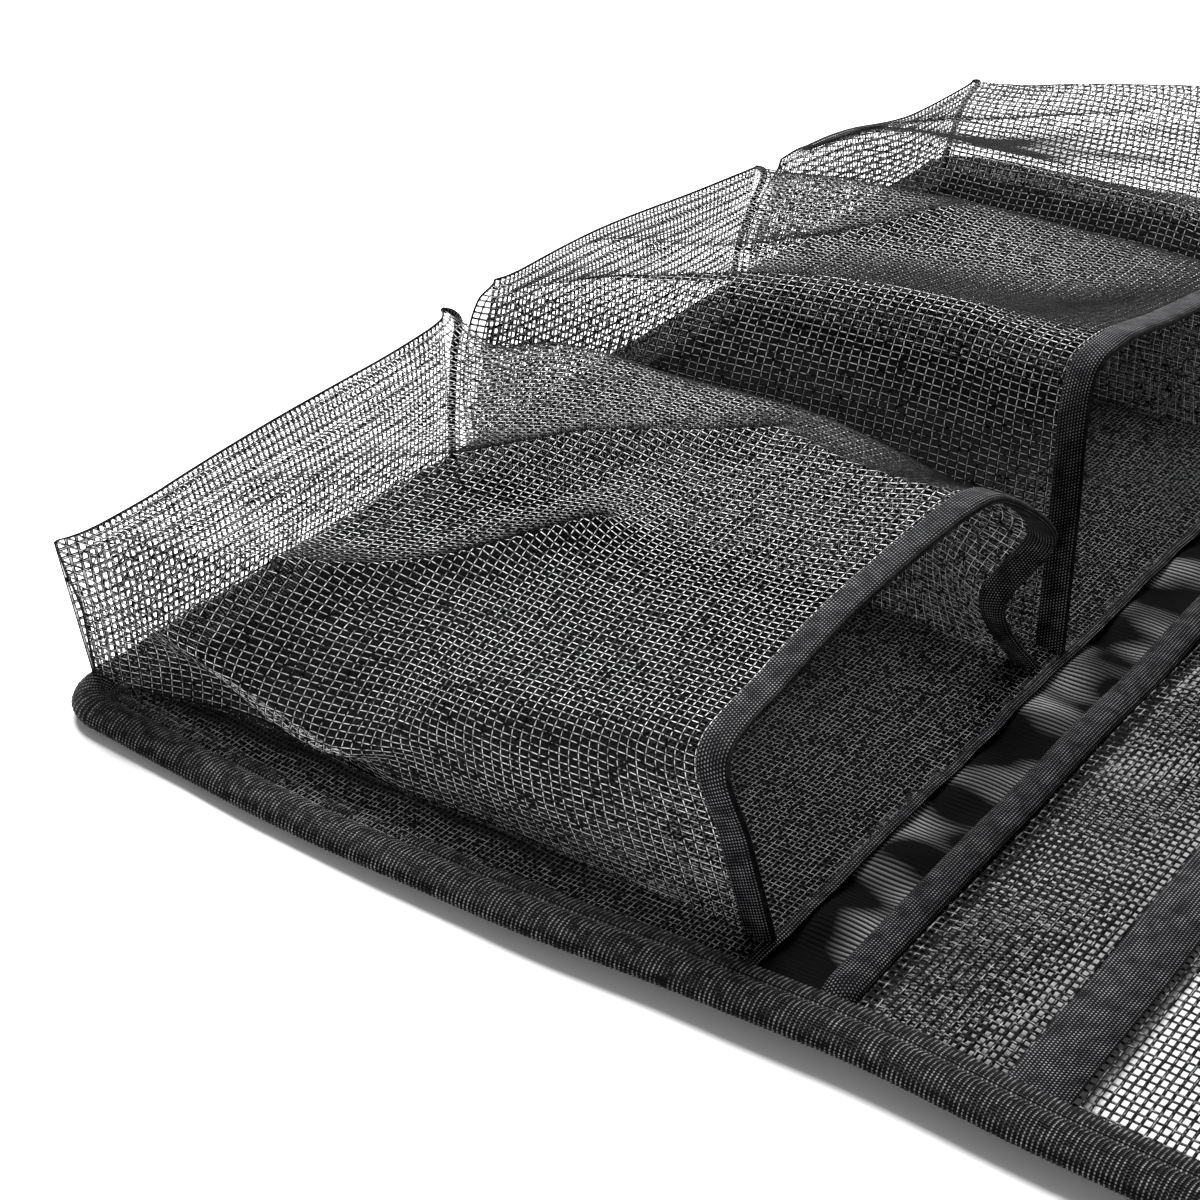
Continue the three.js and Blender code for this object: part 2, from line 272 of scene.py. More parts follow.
def swept_object(name, path, side, up, section, material, closed_section=True, shape=None):
    """A section of (sideways, up) corners carried along a path.

    shape(along, section) may return the section at each place, for ribs and wrinkles.
    """
    path, side, up = (np.asarray(a, float) for a in (path, side, up))
    section = np.asarray(section, float)
    travel = np.concatenate([[0], np.cumsum(np.linalg.norm(np.diff(path, axis=0), axis=1))])
    sections = np.broadcast_to(section, (len(path),) + section.shape)
    if shape is not None:
        sections = shape(travel, section)
    points = path[:, None] + sections[..., :1] * side[:, None] + sections[..., 1:] * up[:, None]
    quads = lattice_quads(len(path), len(section), wrap=closed_section)
    around = np.concatenate([[0], np.cumsum(np.linalg.norm(np.diff(section, axis=0), axis=1))])
    cloth = np.stack(np.broadcast_arrays(around[None], travel[:, None]), -1).reshape(-1, 2)
    uv = cloth / [around[-1], travel[-1]]
    return mesh_object(name, points.reshape(-1, 3), quads, material, uv, cloth)


# ---- materials ----

# Distances between the binding's ribs and between its strands, between the backing's ribs, and
# between the dots of the woven tape and of the header's weave.
BINDING_RIB = 1.15
STRAND_PITCH = 0.75
RIB_PITCH = 1.5
DOT_PITCH = 0.85
WEAVE_PITCH = 0.7


def new_material(name, colour, roughness, metallic=0.0, specular=0.5):
    """A material and its node tree's pieces, ready for a pattern to be added."""
    material = bpy.data.materials.new(name)
    material.use_nodes = True
    tree = material.node_tree
    shader = tree.nodes["Principled BSDF"]
    shader.inputs["Base Color"].default_value = (*colour, 1)
    shader.inputs["Roughness"].default_value = roughness
    shader.inputs["Metallic"].default_value = metallic
    shader.inputs["Specular IOR Level"].default_value = specular
    return material, tree, shader


def node(tree, kind, inputs=None, **settings):
    """A node with its settings and inputs; an input may be a value or another node's socket."""
    made = tree.nodes.new(kind)
    for name, value in settings.items():
        setattr(made, name, value)
    for name, value in (inputs or {}).items():
        if isinstance(value, bpy.types.NodeSocket):
            tree.links.new(value, made.inputs[name])
        else:
            made.inputs[name].default_value = value
    return made


def maths(tree, operation, first, second=0.0):
    return node(tree, "ShaderNodeMath", {0: first, 1: second}, operation=operation).outputs[0]


def colour_base(tree, shader, factor, dark, light, low=0.0, high=1.0):
    """Colours the shader from dark to light as factor goes from low to high."""
    ramp = node(tree, "ShaderNodeValToRGB", {"Fac": factor})
    ramp.color_ramp.elements[0].position = low
    ramp.color_ramp.elements[0].color = (*dark, 1)
    ramp.color_ramp.elements[1].position = high
    ramp.color_ramp.elements[1].color = (*light, 1)
    tree.links.new(ramp.outputs["Color"], shader.inputs["Base Color"])


def noise_value(tree, scale, detail=2.0):
    """Noise around a half, its scale in patches per metre."""
    place = node(tree, "ShaderNodeTexCoord").outputs["Object"]
    inputs = {"Vector": place, "Scale": scale, "Detail": detail}
    return node(tree, "ShaderNodeTexNoise", inputs).outputs["Fac"]


def cloth_place(tree):
    """The place on a tape or cloth, in millimetres: x across it and y along it."""
    place = node(tree, "ShaderNodeUVMap", uv_map="Cloth").outputs["UV"]
    parts = node(tree, "ShaderNodeSeparateXYZ", {"Vector": place})
    return parts.outputs["X"], parts.outputs["Y"]


def wave(tree, place, pitch, shift=0.0):
    """0 to 1 and back once every pitch millimetres."""
    turns = maths(tree, "ADD", maths(tree, "MULTIPLY", place, math.pi / pitch), shift)
    return maths(tree, "ABSOLUTE", maths(tree, "SINE", turns))


def add_bump(tree, shader, height, distance, strength=1.0):
    bump = node(tree, "ShaderNodeBump", {"Height": height, "Distance": distance, "Strength": strength})
    tree.links.new(bump.outputs["Normal"], shader.inputs["Normal"])


def thread_material(name, dark, light, roughness, specular, low):
    """Black polyester thread with a pale highlight painted along its middle.

    The painted highlight comes and goes along the thread: low is the noise at which it starts.
    """
    material, tree, shader = new_material(name, dark, roughness, specular=specular)
    across, sheen = cloth_place(tree)
    across = maths(tree, "ABSOLUTE", across)
    # Painted highlight: the colour is pale along the thread's middle and black at its edges, standing in for
    # its shine.
    middle = node(tree, "ShaderNodeMapRange", {"Value": across, "From Min": 0.42, "From Max": 0.1})
    comes_and_goes = {"Value": noise_value(tree, 650.0), "From Min": low, "From Max": low + 0.22}
    glint = node(tree, "ShaderNodeMapRange", comes_and_goes)
    shown = maths(tree, "MULTIPLY", middle.outputs["Result"], glint.outputs["Result"])
    shown = maths(tree, "MULTIPLY", shown, sheen)
    colour_base(tree, shader, shown, dark, light)
    return material


def woven_tape_material():
    """Black tape of a fine weave: rows of small raised dots, each row set half a dot along."""
    material, tree, shader = new_material("woven_tape", (0.02, 0.02, 0.021), 0.6, specular=0.05)
    across, along = cloth_place(tree)
    row = maths(tree, "FLOOR", maths(tree, "DIVIDE", across, DOT_PITCH))
    shift = maths(tree, "MULTIPLY", row, math.pi / 2)
    dots = maths(tree, "MULTIPLY", wave(tree, across, DOT_PITCH), wave(tree, along, DOT_PITCH, shift))
    # Painted highlights: the raised dots are painted pale on the black tape, brighter in some places than in
    # others.
    glint_mottle = noise_value(tree, 260.0)
    shown = maths(tree, "MULTIPLY", maths(tree, "POWER", dots, 1.5), maths(tree, "ADD", glint_mottle, 0.3))
    colour_base(tree, shader, shown, (0.002, 0.002, 0.003), (0.27, 0.27, 0.275), 0.4, 1.0)
    add_bump(tree, shader, dots, 0.00025)
    return material


def ribbed_tape_material():
    """Black grosgrain: the ribs are in the mesh; this bumps in the crossing thread and paints highlights on
    rib crests.
    """
    material, tree, shader = new_material("ribbed_binding", (0.02, 0.02, 0.021), 0.55, specular=0.05)
    across, along = cloth_place(tree)
    strands = wave(tree, across, STRAND_PITCH)
    crest = maths(tree, "ADD", along, BINDING_RIB / 2)
    ribs = maths(tree, "POWER", wave(tree, crest, BINDING_RIB), 3.0)
    dotted = maths(tree, "ADD", maths(tree, "MULTIPLY", strands, 0.6), 0.3)
    # Painted highlights: pale dots where the crossing strands meet the rib crests, varied by noise.
    shown = maths(tree, "MULTIPLY", maths(tree, "MULTIPLY", dotted, ribs), noise_value(tree, 400.0))
    colour_base(tree, shader, shown, (0.001, 0.001, 0.001), (0.25, 0.25, 0.255), 0.24, 0.62)
    add_bump(tree, shader, strands, 0.0002)
    return material


def backing_material():
    """Black cloth with a rib along the organizer, whose crests have painted highlights in patches.

    Its places along are measured from the start of the strip, and are negative under the pockets.
    """
    material, tree, shader = new_material("backing_cloth", (0.002, 0.002, 0.002), 0.55, specular=0.01)
    across, along = cloth_place(tree)
    ribs = maths(tree, "POWER", wave(tree, across, RIB_PITCH), 3.0)
    # Painted highlights: pale rib crests in noise patches, only in the strip and only on the front face.
    patch_x = maths(tree, "MULTIPLY", across, 0.055)
    patch_y = maths(tree, "ADD", maths(tree, "MULTIPLY", along, 0.03), 5.6)
    place = node(tree, "ShaderNodeCombineXYZ", {"X": patch_x, "Y": patch_y}).outputs["Vector"]
    patches = node(tree, "ShaderNodeTexNoise", {"Vector": place, "Scale": 1.0, "Detail": 1.0})
    patch_range = {"Value": patches.outputs["Fac"], "From Min": 0.47, "From Max": 0.66}
    lit = node(tree, "ShaderNodeMapRange", patch_range).outputs["Result"]
    strip_range = {"Value": along, "From Min": -3.0, "From Max": 0.0}
    in_strip = node(tree, "ShaderNodeMapRange", strip_range).outputs["Result"]
    on_front = maths(tree, "SUBTRACT", 1.0, node(tree, "ShaderNodeNewGeometry").outputs["Backfacing"])
    shown = maths(tree, "MULTIPLY", maths(tree, "MULTIPLY", lit, in_strip), on_front)
    lit_ribs = maths(tree, "MULTIPLY", ribs, shown)
    colour_base(tree, shader, lit_ribs, (0.0015, 0.0015, 0.0015), (0.27, 0.27, 0.275))
    return material


def header_material():
    """Heavy black plain-weave cloth."""
    material, tree, shader = new_material("header_cloth", (0.014, 0.014, 0.015), 0.6, specular=0.4)
    across, along = cloth_place(tree)
    weave = maths(tree, "MULTIPLY", wave(tree, across, WEAVE_PITCH), wave(tree, along, WEAVE_PITCH))
    colour_base(tree, shader, weave, (0.006, 0.006, 0.007), (0.03, 0.03, 0.032), 0.1, 0.9)
    add_bump(tree, shader, weave, 0.00015)
    return material


def hook_material():
    """Steel strip, brushed along its length."""
    material, tree, shader = new_material("hook_steel", (0.3, 0.305, 0.31), 0.3, metallic=1.0)
    place = node(tree, "ShaderNodeTexCoord").outputs["Object"]
    stretched = node(tree, "ShaderNodeMapping", {"Vector": place, "Scale": (900.0, 12.0, 12.0)})
    inputs = {"Vector": stretched.outputs["Vector"], "Scale": 1.0}
    grain = node(tree, "ShaderNodeTexNoise", inputs).outputs["Fac"]
    roughness = maths(tree, "ADD", maths(tree, "MULTIPLY", grain, 0.3), 0.16)
    tree.links.new(roughness, shader.inputs["Roughness"])
    colour_base(tree, shader, grain, (0.2, 0.205, 0.21), (0.4, 0.405, 0.41))
    return material


def eyelet_material():
    """Gunmetal enamel, rubbed brighter in places."""
    material, tree, shader = new_material("eyelet_enamel", (0.07, 0.07, 0.075), 0.28, metallic=0.8)
    rubbed = noise_value(tree, 350.0, 4.0)
    colour_base(tree, shader, rubbed, (0.05, 0.05, 0.055), (0.2, 0.2, 0.21), 0.45, 0.8)
    return material


def floor_material():
    """Matt white paper."""
    return new_material("studio_floor", (0.95, 0.95, 0.95), 0.9, specular=0.1)[0]


# The light colour of each thread is its painted highlight.
THREAD = thread_material(
    "pocket_thread", dark=(0.001, 0.001, 0.001), light=(0.95, 0.95, 0.96),
    roughness=0.3, specular=0.02, low=0.35,
)
PANEL_THREAD = thread_material(
    "panel_thread", dark=(0.001, 0.001, 0.001), light=(0.32, 0.32, 0.325),
    roughness=0.4, specular=0.015, low=0.48,
)
INNER_THREAD = thread_material(
    "inner_thread", dark=(0.0005, 0.0005, 0.0006), light=(0.34, 0.34, 0.345),
    roughness=0.4, specular=0.01, low=0.38,
)
WOVEN_TAPE = woven_tape_material()
RIBBED_TAPE = ribbed_tape_material()
BACKING = backing_material()
HEADER_CLOTH = header_material()
EYELET = eyelet_material()
HOOK = hook_material()


# ---- placing helpers ----

def box_mm(node_name):
    """A node's low and high corners, in millimetres."""
    low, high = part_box(node_name)
    return np.array(low) / MM, np.array(high) / MM


def section_of(row):
    """The body that a row of pockets moves with."""
    return UPPER if row < FOLD_ROW else LOWER


def settle(piece, row, slot, *nodes):
    """Rides a piece on its row's body and hides the nodes it stands for."""
    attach(piece, section_of(row))
    if nodes:
        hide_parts(*nodes)


NOISE_WAVES = 5


def soft_noise(x, y, scale, seed):
    """Smooth noise between -1 and 1 made of a few crossing waves, the same on every run."""
    waves = np.random.default_rng(seed)
    total = np.zeros(np.shape(x))
    for _ in range(NOISE_WAVES):
        angle, phase = waves.uniform(0, 2 * math.pi, 2)
        size = scale * waves.uniform(0.6, 1.5)
        away = x * math.cos(angle) + y * math.sin(angle)
        total = total + np.sin(away * 2 * math.pi / size + phase)
    return total / NOISE_WAVES


# ---- big pockets ----

# Each pocket's shape: sections across it at even steps from its closed end to its mouth. A
# section runs from the foot of the wall on the right, over the top, to the foot of the wall
# on the left, as (x from the pocket's middle, height above its foot).
SLUMPED_SECTIONS = [
    [(76, -2), (78, 20), (79, 41), (45, 44), (5, 46), (-40, 48), (-75, 51), (-75, 38), (-74, 18), (-74, -2)],
    [(68, -2), (67, 9), (77, 24), (52, 37), (28, 37), (5, 41), (-35, 44), (-74, 52), (-75, 27), (-74, -2)],
    [(68, -2), (70, 5), (77, 12), (57, 28), (23, 38), (0, 42), (-30, 49), (-74, 53), (-75, 28), (-74, -2)],
    [(68, -2), (75, 17), (72, 33), (42, 42), (5, 48), (-35, 54), (-60, 56), (-74, 52), (-75, 28), (-74, -2)],
    [(68, -2), (75, 22), (72, 41), (46, 48), (12, 54), (-22, 60), (-50, 59), (-69, 50), (-75, 26), (-74, -2)],
    [(68, -2), (73, 28), (73, 48), (48, 55), (18, 62), (-18, 70), (-38, 65), (-62, 44), (-61, 20), (-72, -2)],
]
UPRIGHT_SECTIONS = [
    [(74, -2), (75, 26), (70, 48), (57, 53), (8, 52), (-40, 50), (-76, 50), (-76, 36), (-75, 18), (-74, -2)],
    [(74, -2), (74, 30), (66, 52), (50, 58), (10, 49), (-35, 48), (-74, 54), (-76, 38), (-75, 18), (-74, -2)],
    [(73, -2), (70, 34), (58, 60), (42, 67), (10, 55), (-30, 51), (-72, 57), (-76, 40), (-75, 18), (-74, -2)],
    [(73, -2), (68, 36), (55, 66), (40, 73), (8, 61), (-30, 55), (-71, 57), (-76, 40), (-75, 18), (-74, -2)],
    [(73, -2), (67, 37), (54, 68), (40, 75), (6, 65), (-30, 58), (-71, 57), (-76, 40), (-75, 18), (-74, -2)],
    [(73, -2), (66, 38), (56, 70), (42, 78), (8, 72), (-30, 66), (-64, 58), (-72, 38), (-74, 18), (-74, -2)],
]
SAGGING_SECTIONS = [
    [(74, -2), (72, 26), (54, 44), (30, 42), (0, 38), (-40, 32), (-74, 38), (-76, 28), (-75, 14), (-74, -2)],
    [(74, -2), (72, 32), (60, 52), (45, 59), (5, 46), (-40, 40), (-73, 44), (-76, 30), (-75, 16), (-74, -2)],
    [(73, -2), (72, 34), (60, 54), (45, 60), (5, 50), (-40, 46), (-73, 50), (-76, 32), (-75, 17), (-74, -2)],
    [(73, -2), (71, 34), (58, 53), (44, 58), (0, 54), (-40, 52), (-72, 56), (-76, 36), (-75, 18), (-74, -2)],
    [(73, -2), (70, 34), (57, 54), (44, 58), (0, 60), (-38, 58), (-70, 58), (-75, 38), (-75, 18), (-74, -2)],
    [(73, -2), (68, 36), (58, 60), (42, 66), (0, 70), (-34, 66), (-64, 60), (-72, 40), (-74, 18), (-74, -2)],
]
POCKET_SECTIONS = {
    "slumped": SLUMPED_SECTIONS,
    "upright": UPRIGHT_SECTIONS,
    "sagging": SAGGING_SECTIONS,
}
# How far up the organizer each of a section's corners sits, at the closed end and at the mouth.
CLOSED_LEAN = {
    "slumped": (-2, -2, -1, -2, -2, 0, 4, 1, 0, 0),
    "upright": (1, 0, 1, 2, 0, 4, 12, 8, 3, 2),
    "sagging": (1, 3, 6, 2, 0, 3, 14, 8, 4, 2),
}
MOUTH_LEAN = {
    "slumped": (7, 2, -4, -4, -2, 5, 7, 8, -4, 4),
    "upright": (5, 2, -2, 0, 0, 0, 0, 0, 0, 4),
    "sagging": (5, 2, 0, 0, 0, 0, 0, 0, 0, 4),
}
MOODS = ("sagging", "upright", "slumped")
# The ears are the two upper corners of the closed end: which of a section's corners they are,
# how far each is pulled out, and how much of the net around and along the pocket it takes.
EAR_CORNERS = {"slumped": (2, 6), "upright": (3, 6), "sagging": (2, 6)}
EAR_REACH = {"slumped": 8.0, "upright": 3.0, "sagging": 2.0}
EAR_WIDTH = 0.018
EAR_LENGTH = 0.03
# Sharp folds over a pocket: paths of (x, y from its closed end), and how high they stand.
CREASES = {
    "slumped": [
        ([(78, 0), (52, 44), (24, 86), (6, 110)], 6.0),
        ([(30, 18), (2, 34), (-30, 80), (-48, 130), (-24, 186)], 4.0),
    ],
    "upright": [
        ([(66, 10), (48, 40), (42, 90), (40, 150)], 3.0),
        ([(20, 0), (-20, 50), (-60, 90)], 3.0),
    ],
    "sagging": [
        ([(50, 10), (55, 60), (54, 150)], 3.0),
        ([(0, 0), (-30, 60), (-66, 150)], 3.0),
    ],
}
CREASE_WIDTH = 9.0
# A fold down the outer wall of a slumped pocket, as (y from its closed end, height).
SIDE_FOLD = [(0, 43), (24, 32), (58, 21), (82, 13), (100, 2)]
SIDE_FOLD_OUT = 2.2
SIDE_FOLD_FROM = 55
POCKET_LATTICE = (110, 221)
FINE_STEPS = 901
CLOSED_END_OUT = 8.0
# Rough length of the net around a pocket and along it, and ripples in it as (height, spacing).
NET_AROUND = 290
NET_ALONG = 190
RIPPLE_UP = (1.2, 60)
RIPPLE_ACROSS = (0.9, 50)


def ridge(path, x, y, width):
    """1 on a path, falling away from it on both sides so that it stands as a sharp edge."""
    path = np.array(path, float)
    nearest = np.full(np.shape(x), np.inf)
    for start, end in zip(path[:-1], path[1:]):
        span = end - start
        share = np.clip(((x - start[0]) * span[0] + (y - start[1]) * span[1]) / (span @ span), 0, 1)
        away = np.hypot(x - start[0] - share * span[0], y - start[1] - share * span[1])
        nearest = np.minimum(nearest, away)
    return np.exp(-nearest / width)


def pocket_form(mood):
    """A pocket's lattice of points in its own space, evenly spaced around it at each row.

    Their y is only the lean. Also returns where along u its two ears are.
    """
    rows, columns = POCKET_LATTICE
    sections = np.array(POCKET_SECTIONS[mood], float)
    stations, corners = sections.shape[:2]
    share = np.linspace(0, 1, stations)[:, None]
    lean = np.array(CLOSED_LEAN[mood]) * (1 - share) ** 3 + np.array(MOUTH_LEAN[mood]) * share ** 4
    control = Surface(np.concatenate([sections, lean[..., None]], -1))
    fine_u, v = np.meshgrid(np.linspace(0, 1, FINE_STEPS), np.linspace(0, 1, rows))
    fine = control.at(fine_u, v)
    even = np.linspace(0, 1, columns)
    points = np.zeros((rows, columns, 3))
    ears = np.array(EAR_CORNERS[mood]) / (corners - 1)
    for i in range(rows):
        step = np.linalg.norm(np.diff(fine[i, :, :2], axis=0), axis=1)
        travel = np.concatenate([[0], np.cumsum(step)]) / step.sum()
        for axis, part in ((0, 0), (2, 1), (1, 2)):
            points[i, :, axis] = np.interp(even, travel, fine[i, :, part])
        if i == 0:
            ears = np.interp(ears, fine_u[0], travel)
    return points, ears


def pocket_surface(mood, low, high, seed):
    """The net of one pocket's walls and top, with its ears, creases and ripples.

    u runs over it from right to left and v towards its mouth. Also returns its ears' u.
    """
    points, ears = pocket_form(mood)
    rows, columns = points.shape[:2]
    u, v = np.meshgrid(np.linspace(0, 1, columns), np.linspace(0, 1, rows))
    closed, mouth = low[1] - CLOSED_END_OUT, high[1] - 3
    points[..., 1] += closed + (mouth - closed) * v
    ear = sum(np.exp(-np.abs(u - place) / EAR_WIDTH) for place in ears)
    points[..., 1] -= EAR_REACH[mood] * ear * np.exp(-(v / EAR_LENGTH) ** 2)
    free = np.sin(math.pi * u) ** 0.5 * smoothstep(v * 5) * smoothstep((1 - v) * 6)
    around = u * NET_AROUND
    along = v * NET_ALONG
    on_top = smoothstep((points[..., 2] - 20) / 20) * smoothstep(v * 12)
    for path, height in CREASES[mood]:
        crease = ridge(path, points[..., 0], points[..., 1] - closed, CREASE_WIDTH)
        points[..., 2] += on_top * height * crease
    if mood == "slumped":
        fold = ridge(SIDE_FOLD, points[..., 1] - closed, points[..., 2], CREASE_WIDTH)
        points[..., 0] += SIDE_FOLD_OUT * fold * (points[..., 0] > SIDE_FOLD_FROM) * smoothstep(v * 12)
    up, up_spacing = RIPPLE_UP
    across, across_spacing = RIPPLE_ACROSS
    points[..., 2] += low[2] + up * free * soft_noise(around, along, up_spacing, seed)
    points[..., 0] += (low[0] + high[0]) / 2
    points[..., 0] += across * free * soft_noise(around, along, across_spacing, seed + 1)
    return Surface(points), ears


END_WALL_LATTICE = (60, 24)
END_WALL_BOW = 5.0


def end_wall_surface(surface, shoulder):
    """The net that closes a pocket's lower end, bowed inwards."""
    columns, rows = END_WALL_LATTICE
    u = np.linspace(shoulder[0], shoulder[1], columns)
    top = surface.at(u, np.zeros(columns))
    feet = surface.at(np.array([0.0, 1.0]), np.zeros(2))
    share = np.linspace(0, 1, columns)[:, None]
    foot = feet[0] + (feet[1] - feet[0]) * share
    rise = np.linspace(0, 1, rows)[:, None, None]
    points = foot[None] + (top - foot)[None] * rise
    points[..., 1] += END_WALL_BOW * np.sin(math.pi * share[None, :, 0]) * np.sin(math.pi * rise[..., 0])
    return Surface(points)


# The tape folded over a mouth's edge, as (back from the edge, outwards).
LIP_SECTION = [
    (-1.3, 0.0), (-0.9, 0.9), (0.6, 1.25), (2.6, 1.05), (5.0, 1.1), (6.7, 0.95), (7.3, 0.4),
    (7.3, -0.4), (6.7, -1.0), (4.0, -1.1), (0.6, -1.25), (-0.9, -0.9),
]
SEAM_RADIUS = 0.38
# The seam's net is gathered into a thicker fold down the left corner of the closed end.
GATHERED_RADIUS = 1.5
SEAM_STEPS = 400


def sheet_edge(surface, u, v):
    """Points on a sheet with the direction back along v and the outward direction."""
    points = surface.at(u, v)
    outward = surface.normals(u, v)
    step = 0.02
    back = unit(surface.at(u, np.clip(v - step, 0, 1)) - surface.at(u, np.clip(v + step, 0, 1)))
    return points, back, outward


def round_section(radius, corners=6):
    """A closed ring of corners around a cord's middle."""
    angles = np.linspace(0, 2 * math.pi, corners, endpoint=False)
    return [(radius * math.cos(a), radius * math.sin(a)) for a in angles]


def build_pocket(row, column, seed):
    """A big pocket: its net, the seam round its closed end and the tape round its mouth."""
    name = f"row{row}_pocket_{column}"
    low, high = box_mm(name)
    mood = MOODS[(COLUMNS.index(column) + ROWS[-1] - row) % len(MOODS)]
    surface, shoulder = pocket_surface(mood, low, high, seed)
    end_wall = end_wall_surface(surface, shoulder)
    net = net_object(
        f"{name}_net", [surface, end_wall], THREAD, POCKET_MESH, (POCKET_THREAD_HALF, END_THREAD_HALF)
    )
    settle(net, row, "netting", name)

    u = np.linspace(0, 1, SEAM_STEPS)
    seam_path, back, outward = sheet_edge(surface, u, np.full(SEAM_STEPS, 0.001))
    gathered = smoothstep((u - shoulder[1] + 0.01) / 0.03) * (1 - 0.5 * u ** 8)
    thickness = (1 + (GATHERED_RADIUS / SEAM_RADIUS - 1) * gathered)[:, None, None]
    seam = swept_object(
        f"{name}_end_seam", seam_path, back, outward, round_section(SEAM_RADIUS), WOVEN_TAPE,
        shape=lambda travel, section: section[None] * thickness,
    )
    settle(seam, row, "ribbed_tape")

    path, back, outward = sheet_edge(surface, u, np.ones(SEAM_STEPS))
    lip_name = f"row{row}_pocket_lip_{column}"
    lip = swept_object(f"{lip_name}_tape", path, back, outward, LIP_SECTION, WOVEN_TAPE)
    settle(lip, row, "ribbed_tape", lip_name)


# ---- backing, flat pocket and panel net of one row ----

SHEET_INSET = 3.0
RIB_HEIGHT = 0.12
# Up from a row's lower edge: where the backing's strip shows from, and where the backing ends.
STRIP_START = 203.0
BACKING_END = 224.0
# The pockets cover the inner net this far out, and inside them its painted highlight is this weak, as painted
# shade.
POCKETS_REACH = 228.0
DEEP_SHEEN = 0.06
PUCKER_PITCH = 33.0
PUCKER_DEPTH = 1.1
# The side edges bow out by EDGE_BOW and wave by EDGE_WAVE, up to below the header.
EDGE_BOW = 8.5
EDGE_WAVE = 1.5
EDGE_WAVE_PITCH = 200.0
HEADER_HOLDS = 160.0
TAPE_STEPS = 1200
HEM_SECTION = [(-1.6, 0.0), (-1.2, 0.4), (1.2, 0.4), (1.6, 0.0), (1.2, -0.3), (-1.2, -0.3)]


def edge_bow(y):
    """How far the loose side edges bow outwards at y. The header holds them straight at the top."""
    above = y - box_mm("bottom_binding")[0][1]
    below_header = box_mm("header_panel")[0][1] - y
    bow = EDGE_BOW * smoothstep((above + 55) / 130)
    bow = bow + EDGE_WAVE * np.sin(2 * math.pi * (above - 80) / EDGE_WAVE_PITCH)
    return bow * smoothstep(below_header / HEADER_HOLDS)


def half_width_at(y, inset):
    """How far the panel's cloth reaches from its middle at y: it rounds off at the lower edge."""
    low, high = box_mm("bottom_binding")
    radius = high[1] - low[1] - inset
    below = np.clip(low[1] + inset + radius - y, 0, radius)
    return high[0] - inset - radius + np.sqrt(radius ** 2 - below ** 2) + edge_bow(y)


def build_backing(row, bottom):
    """Opaque cloth: plain under the pockets, ribbed and puckered in the strip above them."""
    name = f"row{row}_backing"
    low, high = box_mm(name)
    x = np.arange(low[0], high[0], RIB_PITCH / 6)
    hidden = np.linspace(low[1], bottom + STRIP_START - 3, 5)
    strip = np.linspace(bottom + STRIP_START, high[1], 12)
    y = np.concatenate([hidden, strip])
    grid_x, grid_y = np.meshgrid(x, y)
    grid_x = grid_x * half_width_at(grid_y, SHEET_INSET) / high[0]
    ribs = -RIB_HEIGHT * np.cos(2 * math.pi * grid_x / RIB_PITCH)
    in_strip = smoothstep((grid_y - bottom - STRIP_START) / 4)
    pucker = np.sin(2 * math.pi * (grid_x / PUCKER_PITCH + 0.25 * soft_noise(grid_x, grid_y, 90, row)))
    sag = PUCKER_DEPTH * pucker * np.sin(math.pi * np.clip((grid_y - bottom - STRIP_START) / 20, 0, 1))
    z = high[2] - 0.6 + ribs + in_strip * sag
    points = np.stack([grid_x, grid_y, z], -1)
    flat = points.reshape(-1, 3)[:, :2]
    texture = (flat - flat.min(0)) / (flat.max(0) - flat.min(0))
    quads = lattice_quads(len(y), len(x))
    weave = flat - [0, bottom + STRIP_START]
    cloth = mesh_object(f"{name}_cloth", points.reshape(-1, 3), quads, BACKING, texture, weave)
    settle(cloth, row, "backing_cloth", name)


def wavy_height(level, amplitude, scale, seed, edge_low, edge_high):
    """A nearly flat sheet's height: level at its two long edges and wavy between them."""
    def height(x, y):
        free = np.sin(math.pi * np.clip((y - edge_low) / (edge_high - edge_low), 0, 1)) ** 0.7
        return level + amplitude * free * (0.9 + soft_noise(x, y, scale, seed))
    return height


def build_inner_net(row, half, hem):
    """A fine net that lies on the backing, behind the pockets, up to a hem past their mouths."""
    start = box_mm(f"row{row}_backing")[0][1] + 5
    height = wavy_height(4.2, 1.3, 42, row * 5, start, hem)
    inner = flat_surface((-half, half), (start, hem), height)
    inner.points[..., 0] *= half_width_at(inner.points[..., 1], SHEET_INSET + 2) / half

    def lit_part(points):
        """The painted highlight shows in the open mouths and beside the pockets; inside them it fades to
        painted shade.
        """
        in_mouth = smoothstep((points[:, 1] - hem + 75) / 55)
        beside = smoothstep((np.abs(points[:, 0]) - POCKETS_REACH) / 4)
        return DEEP_SHEEN + (1 - DEEP_SHEEN) * np.maximum(in_mouth, beside)

    inner_net = net_object(
        f"row{row}_pocket_back_net", [turned(inner)], INNER_THREAD, INNER_MESH,
        (INNER_THREAD_HALF,), flat=True, sheen=lit_part,
    )
    settle(inner_net, row, "netting")


def build_cross_tape(name, x, y, z, section, shape=None):
    """A woven tape that runs across the organizer, its middle at x, y and z."""
    side = np.tile([0, 1.0, 0], (len(x), 1))
    up = np.tile([0, 0, 1.0], (len(x), 1))
    path = np.stack([x, y, z], -1)
    return swept_object(name, path, side, up, section, WOVEN_TAPE, shape=shape)


